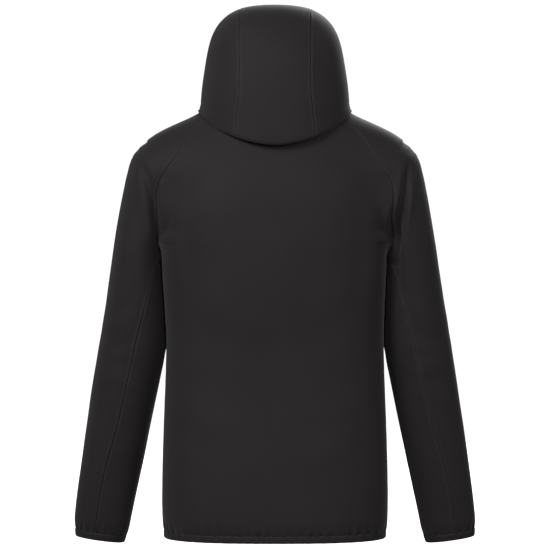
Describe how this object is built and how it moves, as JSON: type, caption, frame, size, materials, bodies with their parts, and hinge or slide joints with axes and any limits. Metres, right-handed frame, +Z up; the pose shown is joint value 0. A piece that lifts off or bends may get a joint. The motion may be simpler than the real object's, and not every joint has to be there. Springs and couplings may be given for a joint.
{
  "type": "hooded softshell jacket",
  "caption": "Hooded raglan softshell jacket with a full front zip and elastic-bound hem and cuffs, zipped up and filled out as worn.",
  "frame": {"origin": "between the shoulders, level with the neck seam where it crosses them: where the wearer's shoulders hold the jacket", "axes": "+Z up, +Y towards the wearer's front, +X towards the wearer's right"},
  "size_m": [0.7106, 0.2702, 0.944],
  "materials": {
    "softshell": "smooth matt stretch weave, near black",
    "elastic": "folded elastic binding, near black",
    "zip_tape": "woven tape with moulded coil",
    "zip_metal": "black painted zip slider"
  },
  "bodies": {
    "jacket": {"back": "softshell", "front_right": "softshell", "front_left": "softshell", "sleeve_right": "softshell", "sleeve_left": "softshell", "hood_side_right": "softshell", "hood_side_left": "softshell", "hood_crown": "softshell", "hem_binding": "elastic", "cuff_binding_right": "elastic", "cuff_binding_left": "elastic", "face_binding": "elastic", "zip_right": "zip_tape", "zip_left": "zip_tape", "zip_slider": "zip_metal"},
    "pull_tab": {"zip_pull_tab": "zip_metal"}
  },
  "joints": [
    {"name": "pull_tab_swing", "type": "hinge", "parent": "jacket", "child": "pull_tab", "pos_m": [0, 0.10564, 0.00381], "axis": [1, 0, 0], "range_deg": [0, 165]}
  ]
}
